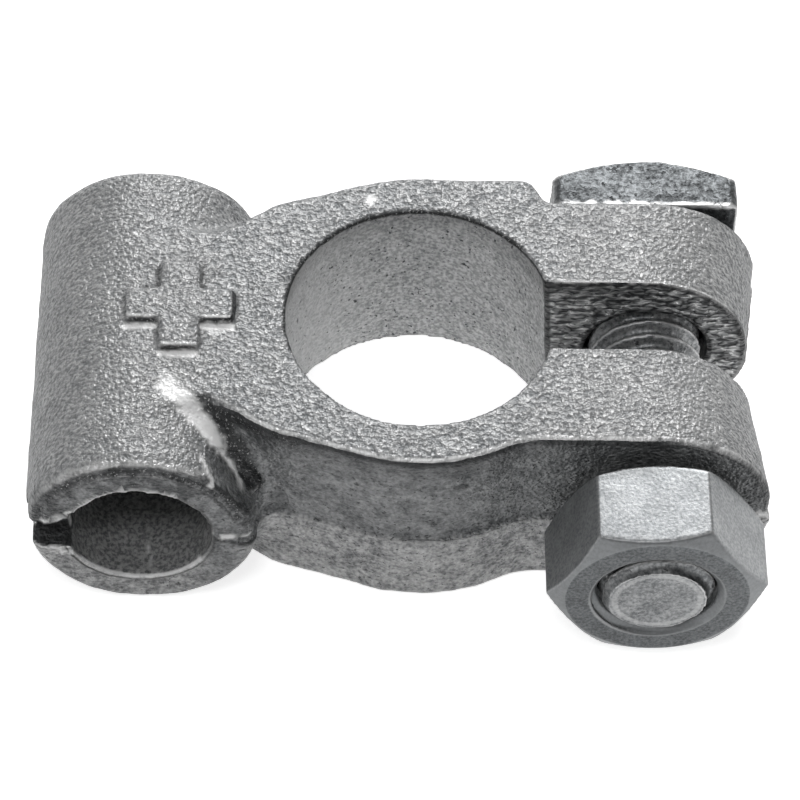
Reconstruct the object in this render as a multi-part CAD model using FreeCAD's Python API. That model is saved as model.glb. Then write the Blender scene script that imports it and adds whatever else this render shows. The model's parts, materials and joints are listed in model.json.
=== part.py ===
import FreeCAD, Part
import math
import os

# Battery terminal clamp: a casting with a split ring, two ears and a cable barrel,
# drawn together round the post by a square-headed bolt and a hexagon nut.
# Millimetres. The origin is on the post's axis at the underside, +Z runs up along the post,
# +X points to the ears and +Y to the bolt's head.

# Split ring and the post that it grips
height = 15.5
post_top_d = 18.4
post_taper = 9.0
ring_wall = 3.2
gap = 5.6
gap_shift = 0.25

# Ears, whose ends slant back towards the gap, and the hollow blend from the ring to the front one
ear_inset = 2.0
ear_past_bolt = 8.1
ear_slant = 7.7
ear_blend_r = 4.0

# Square-headed bolt and its hole. The clamp is slack: head and nut stand off the ears
bolt_out = 3.7
bolt_d = 8.0
bolt_hole_play = 0.7
bolt_proud = 0.2
bolt_chamfer = 0.85
across_share = 1.625
head_thick = 4.2
head_corner_r = 0.6
head_slack = 0.65

# Hexagon nut
nut_sides = 6
nut_thick = 6.5
nut_play = 0.05
nut_slack = 0.9
nut_mouth = 0.6
nut_turned = 5.0

# Turned faces of the head and the nut
turned_angle = 30.0
turned_share = 0.95

# Step beside the head, which keeps it from turning
step_play = 0.7
step_run = 1.0
step_top_r = 1.2
step_foot_r = 0.5

# Cable barrel, which stands a little proud of the clamp's top and underside
barrel_out = 6.5
barrel_proud = 0.05
barrel_past_front = 0.6
barrel_past_rear = 0.5
barrel_rim_r = 1.0
rim_steps = 3
cable_d = 9.8
barrel_floor = 4.9

# The lower mould half sits a little off the upper one, which leaves a ledge all round
shift_x = 0.25
shift_y = -0.3
parting_drop = 1.15

# Notch through the barrel's wall at the mouth
notch_height = 2.9
notch_depth = 2.4
notch_r = 1.0

# Flat on the barrel's flank beside the web
flank_depth = 0.5
flank_angle = 34.0
flank_length = 3.2

# Web between the ring and the barrel: it leans in from the ring, bends and narrows to a neck
web_lean = 17.0
web_bend_in = 2.3
web_bend_r = 4.0
web_neck_out = 1.6
web_neck_in = 5.25
web_neck_r = 3.0
web_taper = 7.5
valley_r = 1.5

# Plus sign for the positive pole
plus_in = 2.5
plus_y = 0.5
plus_span = 7.4
plus_arm = 2.7
plus_rise = 0.6
plus_corner_r = 0.4
plus_edge = 0.2

# The casting's outer edges are broken by a small chamfer
edge_cut = 0.35

mid = height / 2
post_top_r = post_top_d / 2
post_bottom_r = post_top_r + height / post_taper / 2
ring_r = post_top_r + ring_wall
ear_face = ring_r - ear_inset
bolt_x = ring_r + bolt_out
ear_reach = bolt_x + ear_past_bolt
bolt_r = bolt_d / 2
hole_r = bolt_r + bolt_hole_play / 2
across = bolt_d * across_share
step_x = bolt_x - across / 2 - step_play
barrel_x = -ring_r - barrel_out
barrel_r = mid + barrel_proud
barrel_front = ring_r + barrel_past_front
barrel_rear = ring_r + barrel_past_rear
cable_r = cable_d / 2
cable_end = barrel_rear - barrel_floor
crown_x = barrel_x + math.sqrt(barrel_r ** 2 - mid ** 2)
web_bend_x = web_bend_in - ring_r
web_neck_x = -ring_r - web_neck_out
web_neck = ring_r - web_neck_in
plate_parting = mid - parting_drop
plus_x = barrel_x + plus_in

# Cutters and trimming blocks pass the solid by this much, and points closer than a hair are one
past = height
hair = 1e-4
crease = math.radians(8)

up = FreeCAD.Vector(0, 0, 1)
back = FreeCAD.Vector(0, 1, 0)


def block(x0, x1, y0, y1, z0, z1):
    return Part.makeBox(x1 - x0, y1 - y0, z1 - z0, FreeCAD.Vector(x0, y0, z0))


def rod(radius, x, z, y0, y1):
    """A cylinder along Y whose seam is on its left side."""
    shape = Part.makeCylinder(radius, y1 - y0, FreeCAD.Vector(x, y0, z), back)
    shape.rotate(FreeCAD.Vector(x, y0, z), back, -90)
    return shape


def prism(points, z0, z1):
    corners = [FreeCAD.Vector(x, y, z0) for x, y in points]
    face = Part.Face(Part.makePolygon(corners + corners[:1]))
    return face.extrude(up * (z1 - z0))


def middle(edge):
    return edge.valueAt((edge.FirstParameter + edge.LastParameter) / 2)


def upright_edges(shape, places):
    """The edges along Z that stand at the given places."""
    found = []
    for edge in shape.Edges:
        ends = [vertex.Point for vertex in edge.Vertexes]
        if len(ends) < 2 or math.hypot(ends[0].x - ends[1].x, ends[0].y - ends[1].y) > hair:
            continue
        if any(math.hypot(ends[0].x - x, ends[0].y - y) < hair for x, y in places):
            found.append(edge)
    return found


def round_upright(shape, radius, places):
    return shape.makeFillet(radius, upright_edges(shape, places))


def is_crease(shape, edge):
    """True where the two faces of an edge meet at an angle."""
    faces = shape.ancestorsOfType(edge, Part.Face)
    if len(faces) < 2:
        return False
    point = middle(edge)
    normals = [face.normalAt(*face.Surface.parameter(point)) for face in faces]
    return normals[0].getAngle(normals[1]) > crease


def ear(face_y):
    """An ear lies along X and ends in a half round at the bolt's height."""
    low_end = FreeCAD.Vector(ear_reach - mid, face_y, 0)
    tip = FreeCAD.Vector(ear_reach, face_y, mid)
    high_end = FreeCAD.Vector(ear_reach - mid, face_y, height)
    low = FreeCAD.Vector(0, face_y, 0)
    high = FreeCAD.Vector(0, face_y, height)
    edges = [
        Part.makeLine(low, low_end),
        Part.Arc(low_end, tip, high_end).toShape(),
        Part.makeLine(high_end, high),
        Part.makeLine(high, low),
    ]
    set_back = ear_face * math.tan(math.radians(ear_slant))
    return Part.Face(Part.Wire(edges)).extrude(FreeCAD.Vector(-set_back, -face_y, 0))


def barrel_blank():
    return rod(barrel_r, barrel_x, mid, -barrel_front, barrel_rear)


def web():
    """The web meets the barrel in a hollow blend that dies out at the barrel's crown.

    It is blended while it is taller than the barrel and runs past it, and is then trimmed.
    """
    lean = math.radians(web_lean)
    leave = (-ring_r * math.sin(lean), ring_r * math.cos(lean))
    bend = (web_bend_x, (ring_r + web_bend_x * math.sin(lean)) / math.cos(lean))
    neck = (web_neck_x, web_neck)
    far_x = barrel_x - 2 * barrel_r
    far = (far_x, web_neck - math.tan(math.radians(web_taper)) * (web_neck_x - far_x))
    half = [leave, bend, neck, far]
    tall = prism(half + [(x, -y) for x, y in reversed(half)], -past, height + past)
    tall = round_upright(tall, web_neck_r, [neck, (neck[0], -neck[1])])
    tall = round_upright(tall, web_bend_r, [bend, (bend[0], -bend[1])])
    joined = tall.fuse(barrel_blank())
    valley = []
    for edge in joined.Edges:
        point = middle(edge)
        on_barrel = abs(math.hypot(point.x - barrel_x, point.z - mid) - barrel_r) < hair
        lengthwise = abs(edge.tangentAt(edge.FirstParameter).y) > 1 - hair
        at_end = point.y < hair - barrel_front or point.y > barrel_rear - hair
        if on_barrel and not lengthwise and not at_end:
            valley.append(edge)
    joined = joined.makeFillet(valley_r, valley)
    front = barrel_rim_r - barrel_front
    rear = barrel_rear - barrel_rim_r
    return joined.common(block(barrel_x, 0, front, rear, 0, height))


def plate():
    """Ring, ears, the step beside the bolt's head and the web, before the edges are rounded."""
    ring = Part.makeCylinder(ring_r, height)
    step_outline = [(0, 0), (0, ring_r), (step_x - step_run, ring_r), (step_x, ear_face), (step_x, 0)]
    step = prism(step_outline, 0, height)
    shape = ring.multiFuse([ear(-ear_face), ear(ear_face), step, web()]).removeSplitter()
    meeting_x = math.sqrt(ring_r ** 2 - ear_face ** 2)
    shape = round_upright(shape, ear_blend_r, [(meeting_x, -ear_face)])
    shape = round_upright(shape, step_top_r, [(step_x - step_run, ring_r)])
    return round_upright(shape, step_foot_r, [(step_x, ear_face)])


def outer_edges(shape, split_x):
    """The creased edges round the plate's top and bottom and round the ears' outer ends."""
    found = []
    for edge in shape.Edges:
        point = middle(edge)
        level = min(abs(point.z), abs(point.z - height)) < hair
        ear_end = abs(abs(point.y) - ear_face) < hair and point.x > bolt_x
        at_split = abs(point.x - split_x) < hair
        if (level or ear_end) and not at_split and is_crease(shape, edge):
            found.append(edge)
    return found


def eased_plate():
    """The chamfer ends where the web's top comes near the barrel's crown."""
    split_x = crown_x + valley_r
    whole = plate()
    far = block(split_x, ear_reach + past, -past, past, -past, height + past)
    near_crown = whole.cut(far)
    rest = whole.common(far)
    rest = rest.makeChamfer(edge_cut, outer_edges(rest, split_x))
    return rest, near_crown


def rim(y_end, inward):
    """Corner points of a rounded rim as (radius, y), from the end face to the side."""
    points = []
    for step in range(rim_steps + 1):
        angle = math.pi / 2 * step / rim_steps
        radius = barrel_r - barrel_rim_r * (1 - math.sin(angle))
        points.append((radius, y_end + inward * barrel_rim_r * (1 - math.cos(angle))))
    return points


def barrel():
    """The barrel is turned from its half section."""
    front = rim(-barrel_front, 1)
    rear = rim(barrel_rear, -1)
    section = [(0, -barrel_front)] + front + rear[::-1] + [(0, barrel_rear)]
    corners = [FreeCAD.Vector(barrel_x - radius, y, mid) for radius, y in section]
    face = Part.Face(Part.makePolygon(corners + corners[:1]))
    return face.revolve(FreeCAD.Vector(barrel_x, 0, mid), back, 360)


def below_parting():
    """The room of the lower mould half, whose top drops from the barrel's middle to the plate's."""
    far_left = barrel_x - past
    far_right = ear_reach + past
    outline = [(far_left, -past), (far_left, mid), (web_neck_x, mid), (web_bend_x, plate_parting),
               (far_right, plate_parting), (far_right, -past)]
    corners = [FreeCAD.Vector(x, -past, z) for x, z in outline]
    return Part.Face(Part.makePolygon(corners + corners[:1])).extrude(back * 2 * past)


def mismatched(blank):
    """The two mould halves' shares of the blank, the lower one moved off the upper."""
    lower_room = below_parting()
    moved = blank.translated(FreeCAD.Vector(shift_x, shift_y, 0))
    return blank.cut(lower_room).fuse(moved.common(lower_room))


def notch():
    """The notch at the mouth, from the bore out through the wall's left side."""
    low = mid - notch_height / 2
    cutter = block(barrel_x - past, barrel_x, -past, notch_depth - barrel_front, low, low + notch_height)
    inner = [edge for edge in cutter.Edges if abs(edge.tangentAt(edge.FirstParameter).x) > 1 - hair]
    inner = [edge for edge in inner if middle(edge).y > -barrel_front]
    return cutter.makeFillet(notch_r, inner)


def flank_flat():
    """What is taken off the barrel's flank beside the web."""
    inner = barrel_r - flank_depth
    half = math.sqrt(barrel_r ** 2 - inner ** 2)
    cutter = block(inner, barrel_r + flank_depth, -past, flank_length - barrel_front, -half, half)
    cutter.rotate(FreeCAD.Vector(0, 0, 0), back, -flank_angle)
    cutter.translate(FreeCAD.Vector(barrel_x, 0, mid))
    return cutter


def plus_sign():
    """Two crossed bars, whose ends have rounded corners and whose top edges are broken."""
    long_half = plus_span / 2
    short_half = plus_arm / 2
    foot = mid + cable_r + plus_rise
    top = height + plus_rise
    bars = []
    for half_x, half_y in ((long_half, short_half), (short_half, long_half)):
        x0, x1 = plus_x - half_x, plus_x + half_x
        y0, y1 = plus_y - half_y, plus_y + half_y
        bar = prism([(x0, y0), (x1, y0), (x1, y1), (x0, y1)], foot, top)
        bars.append(round_upright(bar, plus_corner_r, [(x0, y0), (x1, y0), (x1, y1), (x0, y1)]))
    shape = bars[0].fuse(bars[1]).removeSplitter()
    return shape.makeChamfer(plus_edge, [edge for edge in shape.Edges if middle(edge).z > top - hair])


def slot():
    far = ear_reach + past
    return block(0, far, gap_shift - gap / 2, gap_shift + gap / 2, -past, height + past)


def post_bore():
    """The post's taper, widest at the underside, drawn out past both faces."""
    slope = (post_bottom_r - post_top_r) / height
    low_r = post_bottom_r + slope * past
    high_r = post_top_r - slope * past
    return Part.makeCone(low_r, high_r, height + 2 * past, FreeCAD.Vector(0, 0, -past))


def clamp_body():
    rest, near_crown = eased_plate()
    body = rest.fuse([near_crown, barrel()]).removeSplitter()
    body = body.cut(flank_flat())
    body = mismatched(body)
    body = body.fuse(plus_sign())
    body = body.cut(slot())
    body = body.cut(post_bore())
    body = body.cut(rod(hole_r, bolt_x, mid, -past, past))
    body = body.cut(rod(cable_r, barrel_x, mid, -past, cable_end))
    body = body.cut(notch())
    return body.removeSplitter()


def turned_cone(face_y, outward):
    """A wide cone that takes the corners off the head or the nut at one face."""
    radius = across / 2 * turned_share
    rise = across * math.tan(math.radians(turned_angle))
    base = FreeCAD.Vector(bolt_x, face_y, mid)
    return Part.makeCone(radius, radius + across, rise, base, back * -outward)


def clamp_bolt():
    """Square head behind the rear ear, shank through both ears and the nut."""
    seat = ear_face + head_slack
    outer = seat + head_thick
    half = across / 2
    head = block(bolt_x - half, bolt_x + half, seat, outer, mid - half, mid + half)
    corners = [edge for edge in head.Edges if abs(edge.tangentAt(edge.FirstParameter).y) > 1 - hair]
    head = head.makeFillet(head_corner_r, corners)
    head = head.common(turned_cone(outer, 1))
    end = -ear_face - nut_slack - nut_thick - bolt_proud
    shank = rod(bolt_r, bolt_x, mid, end, outer - head_thick / 2)
    tip = [edge for edge in shank.Edges if abs(middle(edge).y - end) < hair]
    shank = shank.makeChamfer(bolt_chamfer, tip)
    return head.fuse(shank).removeSplitter()


def hex_nut():
    near = -ear_face - nut_slack
    far = near - nut_thick
    side_angle = 2 * math.pi / nut_sides
    corner = across / 2 / math.cos(side_angle / 2)
    points = []
    for side in range(nut_sides):
        angle = math.radians(nut_turned) + side * side_angle
        points.append(FreeCAD.Vector(bolt_x + corner * math.cos(angle), far, mid + corner * math.sin(angle)))
    nut = Part.Face(Part.makePolygon(points + points[:1])).extrude(back * nut_thick)
    nut = nut.common(turned_cone(far, -1))
    nut = nut.common(turned_cone(near, 1))
    bore_r = bolt_r + nut_play
    nut = nut.cut(rod(bore_r, bolt_x, mid, far - past, near + past))
    mouth_r = bolt_r + nut_mouth
    for face_y, inward in ((far, 1), (near, -1)):
        place = FreeCAD.Vector(bolt_x, face_y, mid)
        nut = nut.cut(Part.makeCone(mouth_r, bore_r, mouth_r - bore_r, place, back * inward))
    return nut


def main():
    os.makedirs("parts", exist_ok=True)
    pieces = {"clamp_body": clamp_body, "clamp_bolt": clamp_bolt, "hex_nut": hex_nut}
    for name, make in pieces.items():
        shape = make()
        if len(shape.Solids) == 1:
            shape = shape.Solids[0]
        shape.exportStep("parts/" + name + ".step")
        print(name, "solids", len(shape.Solids), "valid", shape.isValid(), "volume", round(shape.Volume, 1))


main()
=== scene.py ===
"""Dresses the battery terminal clamp and sets it on a pale studio floor.

The casting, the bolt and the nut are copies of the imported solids, softened as rough metal is, with
a rolled thread on the bolt and in the nut. Lengths are in metres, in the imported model's frame,
unless a comment says millimetres.
"""
import json
import math
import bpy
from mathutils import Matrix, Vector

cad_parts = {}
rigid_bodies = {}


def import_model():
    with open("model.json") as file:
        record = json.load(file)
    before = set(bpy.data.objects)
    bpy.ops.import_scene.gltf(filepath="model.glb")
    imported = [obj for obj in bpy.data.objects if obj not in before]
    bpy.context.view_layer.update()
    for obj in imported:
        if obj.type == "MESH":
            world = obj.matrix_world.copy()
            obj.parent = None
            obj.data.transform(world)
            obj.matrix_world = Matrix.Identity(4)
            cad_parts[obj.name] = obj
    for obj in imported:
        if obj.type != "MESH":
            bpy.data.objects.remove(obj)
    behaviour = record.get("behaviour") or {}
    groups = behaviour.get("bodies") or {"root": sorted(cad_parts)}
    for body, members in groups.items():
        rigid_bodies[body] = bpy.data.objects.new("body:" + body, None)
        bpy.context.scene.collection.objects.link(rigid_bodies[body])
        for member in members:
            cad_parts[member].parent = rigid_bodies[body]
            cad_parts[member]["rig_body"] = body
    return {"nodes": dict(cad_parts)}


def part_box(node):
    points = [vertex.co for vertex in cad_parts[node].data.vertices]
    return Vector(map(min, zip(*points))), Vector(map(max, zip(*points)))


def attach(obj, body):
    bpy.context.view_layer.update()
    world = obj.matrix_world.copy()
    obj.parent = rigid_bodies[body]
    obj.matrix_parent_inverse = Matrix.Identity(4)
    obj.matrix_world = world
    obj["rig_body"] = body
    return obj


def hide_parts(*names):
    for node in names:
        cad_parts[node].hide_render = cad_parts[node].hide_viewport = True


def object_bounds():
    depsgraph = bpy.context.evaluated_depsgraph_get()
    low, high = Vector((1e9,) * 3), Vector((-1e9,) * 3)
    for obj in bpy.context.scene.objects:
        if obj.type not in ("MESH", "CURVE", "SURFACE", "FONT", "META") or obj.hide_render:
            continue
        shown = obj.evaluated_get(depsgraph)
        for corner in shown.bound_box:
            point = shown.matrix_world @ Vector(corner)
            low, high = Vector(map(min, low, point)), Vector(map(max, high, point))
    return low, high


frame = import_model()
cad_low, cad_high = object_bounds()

from types import SimpleNamespace

import bmesh
import bpy
import numpy as np
from mathutils import Matrix, Vector, noise

MM = 0.001

# Points closer than a hair are one, and a cut takes points this near to it as lying on it
hair = 0.001 * MM
cut_hair = 1e-7

# The bolt's axis and faces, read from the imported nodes
bolt_low, bolt_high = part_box("clamp_bolt")
nut_low, nut_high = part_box("hex_nut")
axis_x = (bolt_low.x + bolt_high.x) / 2
axis_z = (bolt_low.z + bolt_high.z) / 2

# Thread of the bolt and the nut: shares of the pitch say where its flank and its crest begin
pitch = 1.25 * MM
thread_start = 0.43 * MM
flank_from = 0.16
crest_from = 0.44
bolt_crest = 3.97 * MM
bolt_root = 3.3 * MM
groove_root = 4.0 * MM
groove_crest = 4.6 * MM
thread_steps = 40
bolt_chamfer = 0.65 * MM

# The head's face on the ear's side, where the head is cut off its plain shank, and how far the
# threaded shank runs into it
head_seat = 11.05 * MM
head_cut = head_seat + 0.02 * MM
shank_end = head_seat + 1 * MM

# Sizes of the mesh that each piece is remade with
cast_grid = 0.2 * MM
cast_share = 0.57
bolt_grid = 0.15 * MM
nut_grid = 0.13 * MM

# Unevenness of each piece: how far the surface moves, how wide its waves are, and their seed
cast_waves = ((0.05 * MM, 2.4 * MM, 3.7), (0.035 * MM, 0.8 * MM, 9.1))
bolt_waves = ((0.05 * MM, 1.6 * MM, 5.3), (0.03 * MM, 0.6 * MM, 8.7))
nut_waves = ((0.012 * MM, 1.5 * MM, 7.9),)
wave_gain = 1.2

# Rounds of averaging behind the measure of how far a point stands out
cast_spread = 4
steel_spread = 3

# Marks along lines: how steeply they fade, and the ragged edge's width and seed for each kind
mark_gain = 3
mark_loss = 0.8
highlight_ragged = (0.5 * MM, 2.3)
shade_ragged = (0.5 * MM, 6.1)
head_ragged = (0.6 * MM, 4.1)


# Meshes

def own_mesh(node):
    """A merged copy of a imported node's mesh."""
    bm = bmesh.new()
    bm.from_mesh(frame["nodes"][node].data)
    bmesh.ops.remove_doubles(bm, verts=bm.verts, dist=hair)
    return bm


def placed(name, bm):
    """Turns a bmesh into an object at the origin."""
    mesh = bpy.data.meshes.new(name)
    bm.to_mesh(mesh)
    bm.free()
    made = bpy.data.objects.new(name, mesh)
    bpy.context.scene.collection.objects.link(made)
    return made


def settle(made):
    """Applies an object's modifiers to its mesh."""
    bpy.context.view_layer.update()
    seen = made.evaluated_get(bpy.context.evaluated_depsgraph_get())
    mesh = bpy.data.meshes.new_from_object(seen)
    made.modifiers.clear()
    old = made.data
    made.data = mesh
    mesh.name = made.name
    bpy.data.meshes.remove(old)


def remade(made, grid, share=1.0):
    """Remakes a closed mesh on an even grid, which joins its shells and softens its edges.

    A share below one then thins the mesh where it is flat.
    """
    grid_step = made.modifiers.new("grid", "REMESH")
    grid_step.mode = "VOXEL"
    grid_step.voxel_size = grid
    grid_step.use_smooth_shade = True
    soften = made.modifiers.new("soften", "SMOOTH")
    soften.factor = 0.5
    soften.iterations = 1
    if share < 1:
        thin = made.modifiers.new("thin", "DECIMATE")
        thin.ratio = share
    settle(made)


def cut_off(bm, place, way):
    """Cuts a bmesh across Y, takes off what lies beyond the cut and closes it."""
    cut = bmesh.ops.bisect_plane(bm, geom=bm.verts[:] + bm.edges[:] + bm.faces[:], dist=cut_hair,
                                 plane_co=(0, place, 0), plane_no=(0, way, 0), clear_outer=True)
    rim = [part for part in cut["geom_cut"] if isinstance(part, bmesh.types.BMEdge)]
    bmesh.ops.contextual_create(bm, geom=rim)


def threaded_rod(crest, root, low_y, high_y):
    """A closed rod along Y with a rolled thread, made longer and then cut to its length."""
    bm = bmesh.new()
    shares = [(root, 0), (root, flank_from), (crest, crest_from),
              (crest, 1 - crest_from), (root, 1 - flank_from), (root, 1)]
    start = low_y - 2 * pitch + thread_start
    points = [bm.verts.new((axis_x + radius, start + share * pitch, axis_z)) for radius, share in shares]
    line = [bm.edges.new(pair) for pair in zip(points, points[1:])]
    turns = math.ceil((high_y - low_y) / pitch) + 3
    bmesh.ops.spin(bm, geom=points + line, cent=(axis_x, 0, axis_z), axis=(0, 1, 0),
                   dvec=(0, pitch / thread_steps, 0), angle=2 * math.pi * turns,
                   steps=thread_steps * turns)
    bmesh.ops.remove_doubles(bm, verts=bm.verts, dist=2 * hair)
    cut_off(bm, low_y, -1)
    cut_off(bm, high_y, 1)
    bmesh.ops.recalc_face_normals(bm, faces=bm.faces)
    return bm


def taper_tip(bm, tip_y, crest):
    """Draws the thread in towards the bolt's end."""
    for vert in bm.verts:
        out = Vector((vert.co.x - axis_x, 0, vert.co.z - axis_z))
        most = crest - bolt_chamfer + (vert.co.y - tip_y)
        if out.length > most:
            out *= most / out.length
            vert.co.x = axis_x + out.x
            vert.co.z = axis_z + out.z


def mesh_places(made):
    """The mesh's points, one row each."""
    places = np.empty(len(made.data.vertices) * 3)
    made.data.vertices.foreach_get("co", places)
    return places.reshape(-1, 3)


def mesh_normals(made):
    """The outward directions at the mesh's points, one row each."""
    normals = np.empty(len(made.data.vertices) * 3)
    made.data.vertex_normals.foreach_get("vector", normals)
    return normals.reshape(-1, 3)


def neighbour_mean(made, places, rounds):
    """Evens out the points over the mesh by averaging along its edges."""
    ends = np.empty(len(made.data.edges) * 2, dtype=np.int64)
    made.data.edges.foreach_get("vertices", ends)
    ends = ends.reshape(-1, 2)
    both = np.concatenate((ends[:, 0], ends[:, 1]))
    other = np.concatenate((ends[:, 1], ends[:, 0]))
    count = np.bincount(both, minlength=len(places)).clip(1)
    for _ in range(rounds):
        places = np.stack([np.bincount(both, weights=places[other, axis], minlength=len(places)) / count
                           for axis in range(3)], axis=1)
    return places


def held(made, places):
    """Writes a mesh's points back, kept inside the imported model's box."""
    places = np.clip(places, np.array(cad_low), np.array(cad_high))
    made.data.vertices.foreach_set("co", places.ravel())
    made.data.update()


def waves(places, size, seed):
    """Soft random lumps at the given points, about as wide as the given size."""
    shift = Vector((seed, -seed, 2 * seed))
    return np.array([noise.noise(Vector(place) / size + shift) for place in places])


def uneven(made, amount, size, seed):
    """Moves the surface in and out by up to the given amount in a soft random pattern."""
    places = mesh_places(made)
    lift = (wave_gain * waves(places, size, seed)).clip(-1, 1)
    held(made, places + mesh_normals(made) * lift[:, None] * amount)


def push(made, centre, reach, shift):
    """Shifts the surface round a point, most in the middle. All three are in millimetres."""
    places = mesh_places(made)
    away = np.linalg.norm((places / MM - np.array(centre)) / np.array(reach), axis=1)
    share = np.clip(1 - away ** 2, 0, 1) ** 2
    held(made, places + share[:, None] * np.array(shift) * MM)


def groove(made, points, width, depth):
    """Sinks the surface along a line through the points, which are in millimetres."""
    places = mesh_places(made)
    held(made, places - mesh_normals(made) * near_line(places, points, width)[:, None] * depth)


def near_line(places, points, width):
    """1 on a line through the points, in millimetres, and 0 from the given width outwards."""
    nearest = np.full(len(places), np.inf)
    for start, end in zip(points, points[1:]):
        run = (np.array(end) - np.array(start)) * MM
        start = np.array(start) * MM
        along = ((places - start) @ run / (run @ run)).clip(0, 1)
        nearest = np.minimum(nearest, np.linalg.norm(places - start - along[:, None] * run, axis=1))
    return (1 - nearest / width).clip(0, 1)


def mark(made, name, values):
    """Keeps a value at each point of the mesh."""
    layer = made.data.attributes.new(name, "FLOAT", "POINT")
    layer.data.foreach_set("value", values.astype(np.float32))


def mark_edges(made, spread):
    """Keeps how far each point stands out of its surroundings, in millimetres, as 'stands_out'."""
    places = mesh_places(made)
    around = neighbour_mean(made, places, spread)
    mark(made, "stands_out", ((places - around) * mesh_normals(made)).sum(axis=1) / MM)


def mark_lines(made, name, lines, ragged):
    """Keeps where the surface is marked along lines, with ragged edges."""
    places = mesh_places(made)
    value = np.zeros(len(places))
    for points, width, strength in lines:
        value = np.maximum(value, near_line(places, points, width * MM) * strength)
    marked = value > 0
    lumps = np.zeros(len(places))
    lumps[marked] = waves(places[marked], *ragged)
    mark(made, name, (value * mark_gain - mark_loss + lumps).clip(0, 1))


# Shader trees

class Link:
    """One output of a node. Maths on it adds Math nodes."""

    def __init__(self, tree, socket):
        self.tree = tree
        self.socket = socket

    def __add__(self, other):
        return self.tree.maths("ADD", self, other)

    __radd__ = __add__

    def __sub__(self, other):
        return self.tree.maths("SUBTRACT", self, other)

    def __rsub__(self, other):
        return self.tree.maths("SUBTRACT", other, self)

    def __mul__(self, other):
        return self.tree.maths("MULTIPLY", self, other)

    __rmul__ = __mul__


class Tree:
    """The nodes of one material or of the world."""

    def __init__(self, owner):
        owner.use_nodes = True
        self.nodes = owner.node_tree.nodes
        self.links = owner.node_tree.links
        self.nodes.clear()

    def node(self, kind, settings={}, values={}, output=0):
        """Adds a node: its settings come first, then the values or links of its sockets."""
        made = self.nodes.new(kind)
        for name, setting in settings.items():
            setattr(made, name, setting)
        for name, value in values.items():
            if isinstance(value, Link):
                self.links.new(value.socket, made.inputs[name])
            else:
                made.inputs[name].default_value = value
        return Link(self, made.outputs[output]) if len(made.outputs) else made

    def attribute(self, name):
        """A value that a piece keeps at its points."""
        return self.node("ShaderNodeAttribute", {"attribute_name": name}, output="Fac")

    def maths(self, operation, first, second=0.0):
        return self.node("ShaderNodeMath", {"operation": operation}, {0: first, 1: second})

    def unsigned(self, value):
        """A number without its sign."""
        return self.maths("ABSOLUTE", value)

    def distance(self, first, second):
        """How far a point lies from an axis, by its two distances across it."""
        return self.maths("SQRT", first * first + second * second)

    def between(self, value, low, high):
        """0 at low, 1 at high and smooth between them."""
        return self.node("ShaderNodeMapRange", {"interpolation_type": "SMOOTHSTEP"},
                         {"Value": value, "From Min": low, "From Max": high})

    def fade(self, value, ends):
        """0 at the first end and 1 at the second one, which are in millimetres."""
        return self.between(value, ends[0] * MM, ends[1] * MM)

    def place(self):
        return self.node("ShaderNodeTexCoord", output="Object")

    def split(self, vector):
        """The three numbers of a vector."""
        return [self.node("ShaderNodeSeparateXYZ", {}, {0: vector}, output=axis) for axis in "XYZ"]

    def facing(self):
        """How far the surface faces along Y and Z, from -1 to 1."""
        return self.split(self.node("ShaderNodeTexCoord", output="Normal"))[1:]

    def grain(self, size, detail=2.0, roughness=0.5, spread=0.0, squeeze=None):
        """Noise whose lumps are about as wide as the given size, or narrower where squeezed."""
        place = self.place()
        if squeeze:
            place = self.node("ShaderNodeMapping", {}, {"Vector": place, "Scale": squeeze})
        return self.node("ShaderNodeTexNoise", {}, {
            "Vector": place, "Scale": 1 / size, "Detail": detail, "Roughness": roughness,
            "Distortion": spread})

    def number(self, share, first, second):
        """A number between two numbers."""
        return self.node("ShaderNodeMix", {}, {0: share, 2: first, 3: second})

    def mix(self, share, first, second):
        """A colour between two colours."""
        return self.node("ShaderNodeMix", {"data_type": "RGBA"}, {0: share, 6: first, 7: second}, output=2)

    def bump(self, height, depth, strength=1.0):
        return self.node("ShaderNodeBump", {}, {"Height": height, "Distance": depth, "Strength": strength})

    def metal(self, **sockets):
        """Ends a material in one metal shader."""
        values = {name.replace("_", " ").title(): value for name, value in sockets.items()}
        shader = self.node("ShaderNodeBsdfPrincipled", {}, values)
        self.node("ShaderNodeOutputMaterial", {}, {"Surface": shader})


def grey(value):
    """A neutral light grey or a slightly cool dark one."""
    cool = 0.08 * max(0, 1 - 2 * value)
    return (value * (1 - cool), value, value * (1 + 0.7 * cool), 1)


# Where the casting's regions lie, in millimetres: a mask fades from 0 at the first to 1 at the second
barrel_side = (-13.5, -15.5)
ears_side = (7.0, 12.0)
ear_end = (15.5, 18.5)
slot_middle = 0.25
slot_faces = (3.3, 3.1)
slot_from = (7.0, 7.5)
bore_wall = (10.4, 10.2)
off_bore = (9.6, 9.9)
bore_lit = (-2.0, -8.0)
socket_x = -18.9
socket_z = 7.75
socket_wall = (5.2, 5.0)
socket_floor = (8.4, 8.1)
notch_faces = (1.65, 1.5)
notch_from = (-22.3, -22.6)
notch_front = (-10.4, -10.7)
mouth_face = (-12.2, -12.7)
lower_plate_top = (6.9, 6.4)
lower_plate_from = (-13.0, -10.0)
lower_plate_front = (8.0, -4.0)
lower_mouth_top = (7.9, 7.5)
lower_mouth_front = (-12.4, -12.9)
wall_top = (12.5, 15.2)
barrel_flank = (-20.5, -25.5)
front_ear_tip = (18.5, 22.5)
front_ear = (0.0, -2.0)

# How far a point stands out on an edge, which the casting paints with highlight and shade and the steel
# shows worn, or lies back in a corner, which the casting paints with shade
raised_edge = (0.015, 0.05)
hollow_corner = (-0.02, -0.08)


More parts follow.
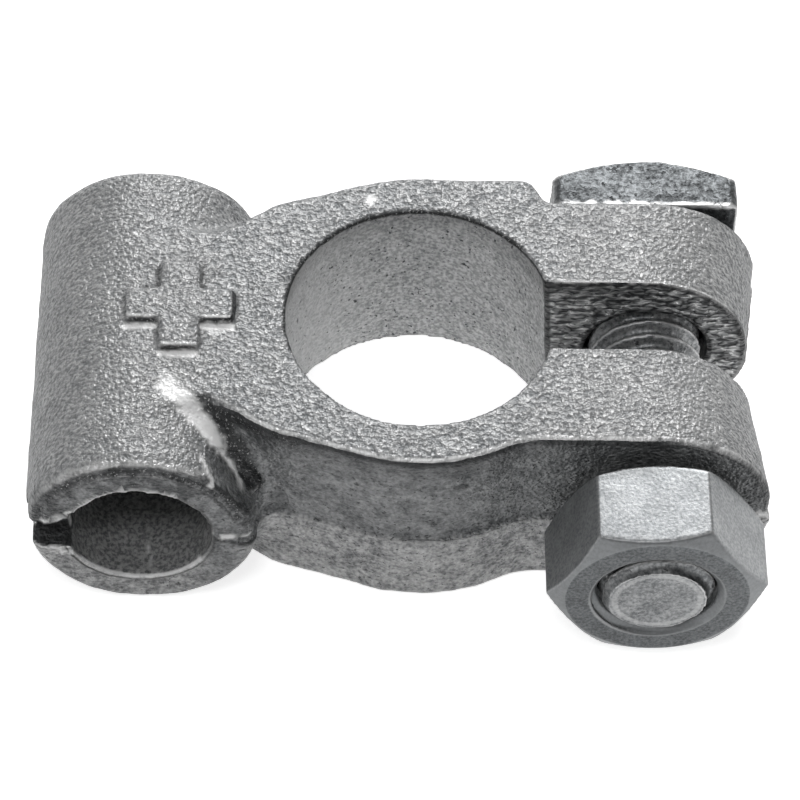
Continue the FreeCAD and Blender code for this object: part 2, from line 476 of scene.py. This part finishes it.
def cast_openings(tree, at, x, y, z):
    """Adds the masks of the slot, the bore, the socket, the mouth's face and the notch."""
    socket_out = x - socket_x * MM
    socket_up = z - socket_z * MM
    at.slot = (tree.fade(tree.unsigned(y - slot_middle * MM), slot_faces) * tree.fade(x, slot_from) *
               tree.between(tree.unsigned(at.facing_y), 0.55, 0.75))
    at.bore = tree.fade(at.from_post, bore_wall) * (1 - at.top) * (1 - at.slot)
    at.socket = tree.fade(tree.distance(socket_out, socket_up), socket_wall) * tree.fade(y, socket_floor)
    at.mouth = tree.fade(y, mouth_face) * at.barrel * (1 - at.socket)
    at.notch = (tree.fade(tree.unsigned(socket_up), notch_faces) * tree.fade(x, notch_from) *
                tree.fade(y, notch_front))


def cast_regions(tree):
    """Masks of the casting's regions, each from 0 to 1."""
    x, y, z = tree.split(tree.place())
    at = SimpleNamespace()
    at.facing_y, lift = tree.facing()
    at.from_post = tree.distance(x, y)
    at.barrel = tree.fade(x, barrel_side)
    at.ears = tree.fade(x, ears_side)
    round_top = tree.maths("MAXIMUM", at.barrel, tree.fade(x, ear_end))
    at.top = tree.number(round_top, tree.between(lift, 0.65, 0.73), tree.between(lift, 0.15, 0.85))
    cast_openings(tree, at, x, y, z)
    at.lower_mouth = tree.fade(z, lower_mouth_top) * tree.fade(y, lower_mouth_front) * at.barrel
    at.lower = at.lower_mouth + (tree.fade(z, lower_plate_top) * tree.fade(x, lower_plate_from) *
                                 (tree.fade(y, lower_plate_front) * 0.7 + 0.3))
    at.wall_top = tree.fade(z, wall_top) * (1 - at.top) * (1 - round_top)
    at.bore_lit = tree.fade(x, bore_lit)
    at.shaded = (tree.fade(x, barrel_flank) * 0.25 +
                 tree.fade(x, front_ear_tip) * tree.fade(y, front_ear) * 0.2)
    stands_out = tree.attribute("stands_out")
    at.raised = tree.between(stands_out, *raised_edge)
    at.hollow = tree.between(stands_out, *hollow_corner)
    at.rubbed = tree.attribute("rubbed")
    at.grimy = tree.attribute("grimy")
    return at


def cast_grains(tree):
    """The casting's lumps, pits, stains and drawn lines, from coarse to fine."""
    grain = SimpleNamespace()
    grain.cloud = tree.grain(3.5 * MM, 3.0, 0.6)
    grain.stain = tree.grain(1.1 * MM, 4.0, 0.65)
    grain.streaks = tree.grain(0.42 * MM, 2.0, 0.6, 0.4, squeeze=(0.6, 1.0, 1.3))
    grain.drawn = tree.grain(0.4 * MM, 3.0, 0.6, 0.3, squeeze=(1.4, 0.3, 1.4))
    grain.ripples = tree.grain(0.34 * MM, 1.5, 0.5, 0.5, squeeze=(0.45, 1.0, 1.0))
    grain.peel = tree.grain(0.29 * MM, 0.9, 0.5, 0.1)
    grain.grit = tree.grain(0.16 * MM, 2.0, 0.6)
    grain.patches = tree.between(grain.stain, 0.36, 0.64)
    grain.lumps = tree.between(grain.peel * 0.6 + grain.grit * 0.4, 0.3, 0.7)
    grain.fine = tree.between(tree.grain(0.27 * MM, 2.0, 0.6), 0.35, 0.65)
    grain.pits = tree.between(tree.grain(0.36 * MM, 2.0, 0.7), 0.62, 0.69)
    grain.pin_holes = tree.between(tree.grain(0.32 * MM, 1.0, 0.5), 0.68, 0.72)
    return grain


def cast_plain(tree, at, grain):
    """The casting's colour: painted light on the tops, painted shade on the walls, a painted reflection on
    the lower band.
    """
    shade = (grain.lumps * 0.75 + grain.grit * 0.15 + grain.cloud * 0.45 +
             at.ears * 0.2 + at.barrel * 0.14 - 0.28)
    blotches = grain.patches * 0.4 + grain.cloud * 0.4
    # Tops: painted light; walls: painted shade; the lower band: painted reflection of the floor
    upper = tree.mix(shade, grey(0.14), grey(0.5))
    wall = tree.mix(grain.lumps * 0.4 + blotches - 0.14, grey(0.06), grey(0.4))
    lower_wall = tree.mix(grain.lumps * 0.5 + blotches - 0.15, grey(0.08), grey(0.62))
    return tree.mix(at.top, tree.mix(at.lower, wall, lower_wall), upper)


def cast_inside(tree, at, grain, skin):
    """Adds the rippled slot with painted glints, the smooth bore with painted light and its pin holes, and
    the dark cable socket.
    """
    ripples_and_glints = tree.mix(tree.between(grain.ripples, 0.38, 0.56), grey(0.04), grey(0.42))
    # Painted glints on the crests of the slot's ripples
    ripples_and_glints = tree.mix(tree.between(grain.ripples, 0.56, 0.64), ripples_and_glints, grey(0.95))
    # The bore is lighter as bored metal and as painted light against its shade
    bored = tree.mix(grain.cloud * 0.3 + grain.stain * 0.7 + grain.fine * 0.5 - 0.25,
                     grey(0.19), grey(0.84))
    # Painted light on the bore's left part
    bored = tree.mix(at.bore_lit * 0.45, bored, grey(0.85))
    bored = tree.mix(grain.pin_holes, bored, grey(0.06))
    drilled = tree.mix(grain.drawn * 0.4 + grain.fine * 0.6, grey(0.09), grey(0.54))
    skin = tree.mix(at.slot, skin, ripples_and_glints)
    skin = tree.mix(at.bore, skin, bored)
    return tree.mix(at.socket, skin, drilled)


def cast_dirt_and_shade(tree, at, grain, skin):
    """Adds patchy darkening on the mouth, painted shade on the flank, ear tip, notch and under top edges,
    and the dirt in pits.
    """
    # Darkens the mouth's face in patches, less on its lower part
    mouth_darkening = at.mouth * (1 - at.lower_mouth * 0.6) * (1.15 - grain.patches * 0.8 - grain.fine * 0.35)
    skin = tree.mix(mouth_darkening * 0.7, skin, grey(0.03))
    skin = tree.mix(at.shaded * (1 - at.mouth) * (1 - at.socket), skin, grey(0.04))
    # Painted shade inside the notch
    skin = tree.mix(at.notch * 0.8, skin, grey(0.03))
    skin = tree.mix(grain.pits * (1 - at.bore) * (1 - at.top * 0.6) * 0.8, skin, grey(0.03))
    # Painted shade on the walls just under their top edges
    return tree.mix(at.wall_top * (1 - at.bore * 0.4) * 0.5, skin, grey(0.03))


def cast_edges(tree, at, grain, skin):
    """Adds painted highlights on front top edges, painted shade under edges and in corners, and the marks
    along lines.
    """
    # Painted highlight along the casting's front top edges
    front_edge_highlight = (at.raised * at.top * tree.between(grain.stain, 0.3, 0.5) *
            tree.between(at.facing_y, -0.1, -0.4) * tree.fade(at.from_post, off_bore))
    edge_shade_and_light = tree.mix(at.lower, grey(0.02), grey(0.5))
    line_shade = tree.mix(tree.between(grain.grit, 0.6, 0.68), grey(0.02), grey(0.5))
    skin = tree.mix(front_edge_highlight * 0.9, skin, grey(0.95))
    # Painted shade along the walls' raised edges, and painted light along those of the lower band
    skin = tree.mix(at.raised * (1 - at.top) * (0.8 - at.barrel * 0.45), skin, edge_shade_and_light)
    # Painted shade in concave corners
    skin = tree.mix(at.hollow * 0.45, skin, grey(0.04))
    # Painted shade along the marked lines
    skin = tree.mix(at.grimy * 0.85, skin, line_shade)
    # Painted highlights on partly worn metal along the marked lines
    return tree.mix(at.rubbed, skin, grey(0.96))


def cast_height(tree, at, grain):
    """The casting's fine relief: coarse outside, smoother in the bore and drawn in the socket."""
    swell = grain.cloud * 1.2 + 0.3 + at.ears * 0.35 + at.barrel * 0.3
    coarse = (grain.peel * swell + grain.grit * 0.12 + at.mouth * grain.ripples * 1.2 +
              (1 - at.top) * (grain.streaks * 1.2 - grain.pits * 0.5))
    height = tree.number(at.bore, coarse, grain.fine * 0.15 + grain.stain * 0.3 - grain.pin_holes * 0.5)
    height = tree.number(at.slot, height, grain.ripples * 3.0)
    height = tree.number(at.socket, height, grain.drawn * 0.5)
    return tree.number(at.rubbed, height, height * 0.4)


def cast_skin():
    """Cast metal with a coarse peel: painted light on the tops, painted shade on the sides, a smooth bore
    and a dark cable socket.
    """
    material = bpy.data.materials.new("cast_skin")
    tree = Tree(material)
    at = cast_regions(tree)
    grain = cast_grains(tree)
    skin = cast_plain(tree, at, grain)
    skin = cast_inside(tree, at, grain, skin)
    skin = cast_dirt_and_shade(tree, at, grain, skin)
    skin = cast_edges(tree, at, grain, skin)
    tree.metal(base_color=skin, metallic=0.35 - at.rubbed * 0.25,
               roughness=0.5 - grain.lumps * 0.1 + at.bore * 0.1,
               normal=tree.bump(cast_height(tree, at, grain), 0.19 * MM))
    return material


def plated_steel():
    """The nut: bright plating on its flats, painted shade on its two faces and a fine film."""
    material = bpy.data.materials.new("plated_steel")
    tree = Tree(material)
    along = tree.unsigned(tree.facing()[0])
    film = tree.grain(2.2 * MM, 4.0, 0.6)
    speck = tree.grain(0.22 * MM, 2.0, 0.6)
    shaded_faces = tree.between(along, 0.25, 0.75)
    turned = tree.between(along, 0.97, 0.93)
    raised = tree.between(tree.attribute("stands_out"), *raised_edge)
    shade = tree.between(film * 0.3 + speck * 0.7, 0.3, 0.7)
    flat = tree.mix(shade, grey(0.2), grey(0.37))
    # The two faces, painted darker as shade
    face = tree.mix(turned * 0.6, tree.mix(shade, grey(0.06), grey(0.19)), grey(0.3))
    skin = tree.mix(raised * 0.4, tree.mix(shaded_faces, flat, face), grey(0.5))
    tree.metal(base_color=skin, metallic=0.7, roughness=0.48 - film * 0.08,
               normal=tree.bump(speck + film * 0.3, 0.025 * MM, 0.8))
    return material


# The bolt's end, painted in shade, and the ring round its cut face with a painted highlight, in
# millimetres, and where its head's colour begins before the head's face
bolt_tip = (-15.0, -17.0)
tip_ring_in = (2.6, 2.8)
tip_ring_out = (3.15, 3.0)
head_fade = 0.1 * MM


def forged_steel():
    """The bolt: a forged, pitted head, a rolled thread and a grainy cut end, with painted shade towards
    its end and painted highlights.
    """
    material = bpy.data.materials.new("forged_steel")
    tree = Tree(material)
    x, y, z = tree.split(tree.place())
    along = tree.unsigned(tree.facing()[0])
    film = tree.grain(2.0 * MM, 4.0, 0.6)
    speck = tree.grain(0.3 * MM, 3.0, 0.65)
    pits = tree.between(tree.grain(0.5 * MM, 2.0, 0.7), 0.62, 0.7)
    raised = tree.between(tree.attribute("stands_out"), *raised_edge)
    shade = tree.between(film * 0.35 + speck * 0.65, 0.32, 0.68)
    tip = tree.fade(y, bolt_tip)
    cut_end = tip * tree.between(along, 0.75, 0.95)
    out = tree.distance(x - axis_x, z - axis_z)
    end_ring_highlight = tree.fade(out, tip_ring_in) * tree.fade(out, tip_ring_out) * cut_end
    head = tree.between(y, head_seat - head_fade, head_seat)
    skin = tree.mix(head, tree.mix(shade, grey(0.1), grey(0.42)), tree.mix(shade, grey(0.03), grey(0.18)))
    # Painted shade towards the bolt's end
    skin = tree.mix(tip * 0.6, skin, grey(0.03))
    skin = tree.mix(cut_end, skin, tree.mix(shade, grey(0.12), grey(0.4)))
    skin = tree.mix(pits * 0.6, skin, grey(0.03))
    # Worn edges, and a painted highlight on the ring round the cut end
    skin = tree.mix(raised * 0.7 + end_ring_highlight * 0.3, skin, grey(0.7))
    # A painted highlight on the head's front edge
    skin = tree.mix(tree.attribute("rubbed"), skin, grey(0.95))
    tree.metal(base_color=skin, metallic=0.8, roughness=0.5 - shade * 0.1,
               normal=tree.bump(speck * 0.5 + film - pits * 0.4, 0.12 * MM))
    return material


# Marks along lines, in millimetres, each with its width and strength

def mouth_arc(radius, y, first, last):
    """Points round the cable socket, every 8 degrees from the first angle, counted from the right."""
    angles = [math.radians(angle) for angle in range(first, last + 1, 8)]
    return [(socket_x + radius * math.cos(angle), y, socket_z + radius * math.sin(angle))
            for angle in angles]


def rim_arc(radius, z, first, last):
    """Points round the post's bore, every 5 degrees from the first angle."""
    angles = [math.radians(angle) for angle in range(first, last, 5)]
    return [(radius * math.cos(angle), radius * math.sin(angle), z) for angle in angles]


# The hollow line round the mouth, in millimetres, and its width and depth
mouth_line = mouth_arc(7.1, -12.95, 15, 175)
mouth_groove = (0.45 * MM, 0.22 * MM)

# Painted highlights on partly worn metal: the scraped valley, the feet of the plus sign's arms, the
# ledge's end beside the socket, the notch's lips, the socket's rim, a line inside it, and spots on the
# ears and the ring
cast_highlights = [
    ([(-17.2, -6.2, 15.4), (-15.7, -6.9, 15.3)], 0.9, 1.0),
    ([(-17.0, -6.2, 15.4), (-16.0, -7.2, 15.2), (-15.2, -7.9, 14.8)], 1.2, 1.0),
    ([(-15.2, -7.9, 14.8), (-14.2, -8.9, 14.1), (-13.7, -9.4, 13.5)], 1.1, 1.0),
    ([(-13.7, -9.4, 13.5), (-13.1, -9.8, 12.6), (-12.6, -10.1, 11.4), (-12.1, -10.8, 10.5)], 0.45, 0.8),
    ([(-14.7, -11.3, 14.2), (-14.3, -12.0, 13.8), (-13.9, -12.7, 13.1)], 0.5, 0.8),
    ([(-20.0, -1.15, 15.4), (-17.9, -1.15, 15.5)], 0.42, 1.0),
    ([(-14.9, -1.15, 15.5), (-12.8, -1.2, 15.5)], 0.48, 1.0),
    ([(-17.5, -3.5, 15.45), (-15.3, -3.5, 15.5)], 0.45, 1.0),
    ([(-13.3, -13.1, 7.6), (-11.4, -12.75, 7.5)], 0.3, 0.9),
    ([(-24.9, -13.2, 6.25), (-24.3, -13.25, 6.15), (-23.7, -13.2, 6.2), (-23.6, -13.3, 5.8)], 0.35, 0.9),
    ([(-26.2, -12.9, 9.0), (-24.6, -13.0, 9.2), (-23.5, -13.0, 10.3)], 0.3, 0.9),
    (mouth_arc(5.0, -13.0, 60, 150), 0.3, 0.9),
    (mouth_arc(4.9, -13.1, 215, 330), 0.28, 0.8),
    ([(-18.3, -12.4, 2.9), (-18.6, -9.9, 2.9)], 0.25, 0.45),
    ([(23.5, -10.37, 7.1), (24.1, -10.25, 6.9)], 0.5, 1.0),
    ([(-3.5, 10.25, 15.5), (-3.2, 10.25, 15.5)], 0.45, 1.0),
    ([(7.6, 3.15, 15.5), (12.0, 3.15, 15.5), (16.5, 3.15, 15.5)], 0.4, 0.5),
]

# Painted shade along lines: the web's wall beside the valley, the line round the mouth, the bore's rim,
# the undersides of the plus sign's arms and the foot of its other sides, and a crack at the mouth drawn as
# a dark line
cast_shade_lines = [
    ([(-14.6, -7.3, 15.2), (-13.6, -8.1, 14.4), (-12.8, -8.9, 13.5), (-12.0, -9.6, 12.4),
      (-11.6, -9.9, 11.2), (-11.2, -10.1, 9.8)], 1.2, 1.0),
    ([(-13.6, -8.0, 14.9), (-11.2, -9.0, 14.7), (-8.6, -10.2, 14.8)], 0.9, 0.8),
    (mouth_line, 0.5, 1.0),
    (rim_arc(9.3, 15.35, 40, 205), 0.35, 0.9),
    ([(-19.1, -12.95, 14.4), (-19.05, -13.0, 13.6), (-19.4, -13.05, 12.9)], 0.3, 0.9),
    ([(-19.7, -0.85, 15.75), (-18.1, -0.85, 15.75)], 0.4, 1.0),
    ([(-14.7, -0.85, 15.75), (-13.1, -0.85, 15.75)], 0.4, 1.0),
    ([(-17.4, -3.2, 15.75), (-15.4, -3.2, 15.75)], 0.4, 1.0),
    ([(-20.3, -0.6, 15.6), (-20.3, 2.2, 15.6), (-17.95, 2.2, 15.6), (-17.95, 4.55, 15.6),
      (-14.85, 4.55, 15.6), (-14.85, 2.2, 15.6), (-12.5, 2.2, 15.6), (-12.5, -0.6, 15.6)], 0.55, 0.42),
]

# A painted highlight on the burr along the upper front edge of the bolt's head, ragged on its left half
head_highlights = [
    ([(9.8, 11.1, 14.2), (15.5, 11.1, 14.2)], 0.75, 0.5),
    ([(15.5, 11.05, 14.2), (22.4, 11.05, 14.2)], 0.55, 0.8),
]

# Faults of the casting, in millimetres: the middle, how far it reaches and which way the metal goes.
# A hollow under the front edge, a dip beside the bore, the drooping lip over the notch and its
# raised inner end, and the lump on the notch's floor
cast_faults = [
    ((3.0, -12.1, 13.6), (2.2, 1.5, 1.3), (0, 0.25, 0)),
    ((-9.6, 3.1, 15.5), (0.8, 0.6, 0.6), (0, 0, -0.2)),
    ((-26.0, -12.3, 9.25), (2.4, 2.6, 1.2), (0.1, 0, -0.65)),
    ((-23.7, -12.8, 9.6), (1.0, 1.6, 1.0), (0, 0, 0.5)),
    ((-23.8, -13.1, 6.1), (0.8, 0.9, 0.7), (0, -0.1, 0.35)),
]


# The pieces

def dress(made, material):
    """Gives a piece its one material."""
    made.data.materials.clear()
    made.data.materials.append(material)


def casting():
    """The casting, softened, with its faults, marks and rough skin."""
    made = placed("casting", own_mesh("clamp_body"))
    remade(made, cast_grid, cast_share)
    groove(made, mouth_line, *mouth_groove)
    for centre, reach, shift in cast_faults:
        push(made, centre, reach, shift)
    mark_edges(made, cast_spread)
    mark_lines(made, "rubbed", cast_highlights, highlight_ragged)
    mark_lines(made, "grimy", cast_shade_lines, shade_ragged)
    for wave in cast_waves:
        uneven(made, *wave)
    dress(made, cast_skin())
    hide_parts("clamp_body")
    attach(made, frame["nodes"]["clamp_body"]["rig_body"])


def bolt_blank():
    """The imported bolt's head and a threaded shank that runs into it, not yet joined."""
    blank = own_mesh("clamp_bolt")
    cut_off(blank, head_cut, -1)
    bmesh.ops.recalc_face_normals(blank, faces=blank.faces)
    shank = threaded_rod(bolt_crest, bolt_root, bolt_low.y, shank_end)
    taper_tip(shank, bolt_low.y, bolt_crest)
    mesh = bpy.data.meshes.new("shank")
    shank.to_mesh(mesh)
    shank.free()
    blank.from_mesh(mesh)
    bpy.data.meshes.remove(mesh)
    return blank


def bolt():
    """The bolt with its forged head and rolled thread."""
    made = placed("threaded_bolt", bolt_blank())
    remade(made, bolt_grid)
    mark_edges(made, steel_spread)
    mark_lines(made, "rubbed", head_highlights, head_ragged)
    for wave in bolt_waves:
        uneven(made, *wave)
    dress(made, forged_steel())
    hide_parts("clamp_bolt")
    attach(made, frame["nodes"]["clamp_bolt"]["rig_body"])


def cut_thread(made):
    """Cuts the nut's thread with a threaded rod that runs out past both of its faces."""
    tap = placed("tap", threaded_rod(groove_crest, groove_root, nut_low.y - pitch, nut_high.y + pitch))
    cut = made.modifiers.new("tap", "BOOLEAN")
    cut.operation = "DIFFERENCE"
    cut.object = tap
    cut.solver = "EXACT"
    settle(made)
    bpy.data.objects.remove(tap)


def nut():
    """The nut with its cut thread."""
    made = placed("threaded_nut", own_mesh("hex_nut"))
    cut_thread(made)
    remade(made, nut_grid)
    mark_edges(made, steel_spread)
    for wave in nut_waves:
        uneven(made, *wave)
    dress(made, plated_steel())
    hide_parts("hex_nut")
    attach(made, frame["nodes"]["hex_nut"]["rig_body"])


# The studio

# Levels of the world's plain light and of its white backdrop, which ends between two heights
plain_level = 0.17
backdrop_level = 1.0
backdrop_ends = (0.25, 0.08)

# The floor: half its width, how far it lies below the part, and where its glow grows to white
floor_reach = 1.5
floor_drop = 0.02 * MM
floor_white = (0.05, 0.4)


def seen_directly(tree):
    """1 for rays from the camera and for those that metal and glass send on."""
    rays = [tree.node("ShaderNodeLightPath", output=name)
            for name in ("Is Camera Ray", "Is Glossy Ray", "Is Transmission Ray")]
    return tree.maths("MAXIMUM", tree.maths("MAXIMUM", rays[0], rays[1]), rays[2])


def backdrop():
    """A plain ceiling, and a white backdrop all round that only direct rays see."""
    world = bpy.data.worlds.new("studio")
    bpy.context.scene.world = world
    tree = Tree(world)
    plain = tree.node("ShaderNodeBackground", {}, {"Color": grey(1.0), "Strength": plain_level})
    white = tree.node("ShaderNodeBackground", {}, {"Color": grey(1.0), "Strength": backdrop_level})
    height = tree.split(tree.node("ShaderNodeTexCoord", output="Generated"))[2]
    low = tree.between(height, *backdrop_ends) * seen_directly(tree)
    both = tree.node("ShaderNodeMixShader", {}, {0: low, 1: plain, 2: white})
    tree.node("ShaderNodeOutputWorld", {}, {"Surface": both})


def floor_paint():
    """A matt pale floor that takes the part's shadow and glows to white for direct rays."""
    material = bpy.data.materials.new("pale_floor")
    tree = Tree(material)
    x, y = tree.split(tree.place())[:2]
    away = tree.between(tree.distance(x, y), *floor_white)
    matt = tree.node("ShaderNodeBsdfDiffuse", {}, {"Color": grey(0.8)})
    glow = tree.node("ShaderNodeEmission", {}, {"Color": tree.mix(away, grey(0.76), grey(1.0))})
    lit = tree.node("ShaderNodeAddShader", {}, {0: matt, 1: glow})
    both = tree.node("ShaderNodeMixShader", {}, {0: seen_directly(tree), 1: matt, 2: lit})
    tree.node("ShaderNodeOutputMaterial", {}, {"Surface": both})
    return material


def studio_floor():
    """The floor, a hair below the part."""
    bm = bmesh.new()
    bmesh.ops.create_grid(bm, x_segments=1, y_segments=1, size=floor_reach,
                          matrix=Matrix.Translation((0, 0, cad_low.z - floor_drop)))
    floor = placed("studio_floor", bm)
    floor.data.materials.append(floor_paint())


def soft_lamp(name, place, side, level):
    """A square lamp that looks at the origin; the level is what it adds to a white surface there."""
    lamp = bpy.data.lights.new(name, "AREA")
    lamp.shape = "RECTANGLE"
    lamp.size = side
    lamp.size_y = side
    lamp.energy = level * math.pi ** 2 * Vector(place).length ** 2
    made = bpy.data.objects.new(name, lamp)
    bpy.context.scene.collection.objects.link(made)
    made.location = place
    made.rotation_mode = "QUATERNION"
    made.rotation_quaternion = Vector(place).to_track_quat("Z", "Y")


# The photograph's camera, fitted to the clamp's own edges
camera_lens = 165.0
camera_sensor = 36.0
camera_height = math.radians(53.57)
camera_turn = math.radians(-1.964)
camera_roll = math.radians(2.219)
camera_target = Vector((-1.173, -1.647, 8.0)) * MM
camera_distance = 255.55 * MM


def photograph_camera():
    """Looks at the clamp from the photograph's angle and distance."""
    data = bpy.data.cameras.new("photograph")
    data.lens = camera_lens
    data.sensor_width = camera_sensor
    data.clip_start = 0.01
    data.clip_end = 10
    back = Vector((math.sin(camera_turn) * math.cos(camera_height),
                   -math.cos(camera_turn) * math.cos(camera_height), math.sin(camera_height)))
    level = Vector((math.cos(camera_turn), math.sin(camera_turn), 0))
    steep = back.cross(level)
    right = level * math.cos(camera_roll) + steep * math.sin(camera_roll)
    up = steep * math.cos(camera_roll) - level * math.sin(camera_roll)
    made = bpy.data.objects.new("photograph", data)
    bpy.context.scene.collection.objects.link(made)
    made.rotation_mode = "QUATERNION"
    made.rotation_quaternion = Matrix((right, up, back)).transposed().to_quaternion()
    made.location = camera_target + back * camera_distance
    bpy.context.scene.camera = made


photograph_camera()
backdrop()
studio_floor()
soft_lamp("key", (0.04, 0.37, 0.33), 0.18, 0.75)
soft_lamp("front_top", (-0.06, -0.22, 0.5), 0.12, 0.225)
soft_lamp("left", (-0.45, -0.12, 0.25), 0.3, 0.05)
casting()
bolt()
nut()
bpy.context.scene.view_settings.view_transform = "Standard"
